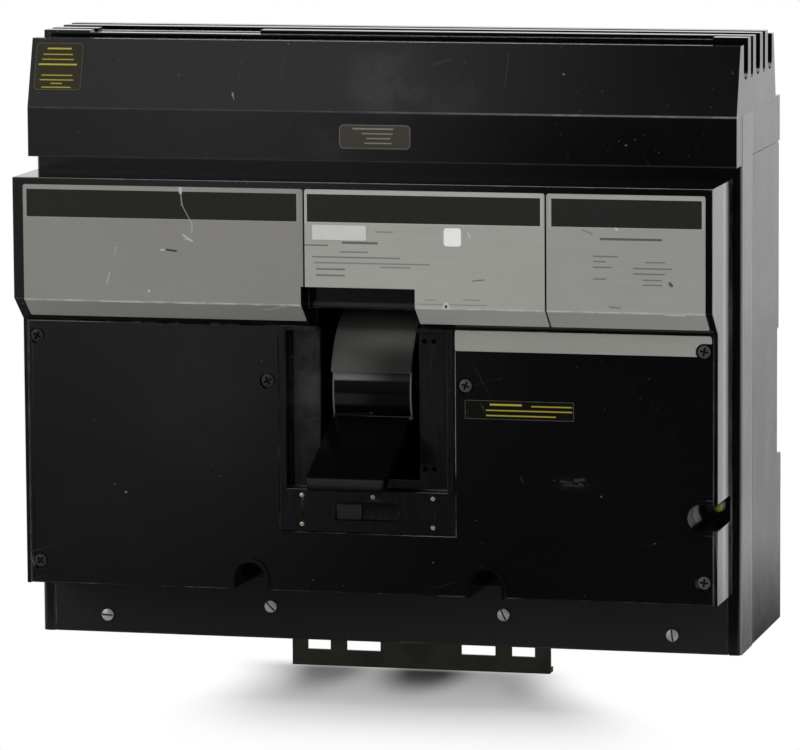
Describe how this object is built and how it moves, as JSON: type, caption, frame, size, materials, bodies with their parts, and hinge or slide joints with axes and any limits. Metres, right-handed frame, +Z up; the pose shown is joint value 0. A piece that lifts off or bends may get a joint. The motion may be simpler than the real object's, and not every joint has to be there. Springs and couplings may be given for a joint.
{
  "type": "moulded case circuit breaker",
  "caption": "Plug-on moulded-case circuit breaker with a slotted bar hood, stepped label block, access cover, toggle handle and a steel mounting bracket.",
  "frame": {"origin": "middle of the flat lower back pad, where the case seats on the panel's mounting pan", "axes": "+X across the poles to the right as seen from the front, +Y out of the back, +Z up towards the plug-on end"},
  "size_m": [0.381, 0.2059, 0.3498],
  "materials": {
    "case_black": "satin black moulding",
    "cover_black": "semi-gloss black moulding",
    "label_grey": "brushed grey plate with a dark band",
    "bracket_steel": "olive-dark plated steel",
    "screw_dark": "blackened steel",
    "screw_bright": "bright plated steel",
    "brass": "plain brass",
    "copper": "copper contact, silver-grey where rubbed",
    "lug_alloy": "tin-plated alloy",
    "shaft_steel": "ground steel",
    "slide_dark": "dark grey moulding"
  },
  "bodies": {
    "case": {"base_case": "case_black", "mid_case": "case_black", "top_block": "case_black", "jaw_hood": "case_black", "front_cover": "cover_black", "access_cover": "cover_black", "handle_escutcheon": "case_black", "handle_shaft": "shaft_steel", "window_slide": "slide_dark", "escutcheon_inserts": "brass", "left_label_plate": "label_grey", "center_label_plate": "label_grey", "right_label_plate": "label_grey", "access_label_strip": "label_grey", "terminal_cover": "case_black", "mounting_bracket": "bracket_steel", "left_line_jaw": "copper", "center_line_jaw": "copper", "right_line_jaw": "copper", "left_load_lug": "lug_alloy", "center_load_lug": "lug_alloy", "right_load_lug": "lug_alloy", "access_cover_screws": "screw_dark", "terminal_cover_screws": "screw_bright", "bracket_screws": "screw_bright"},
    "handle": {"handle": "case_black"}
  },
  "joints": [
    {"name": "handle_toggle", "type": "hinge", "parent": "case", "child": "handle", "pos_m": [0, -0.108, 0.0925], "axis": [-1, 0, 0], "range_deg": [-10, 50]}
  ]
}
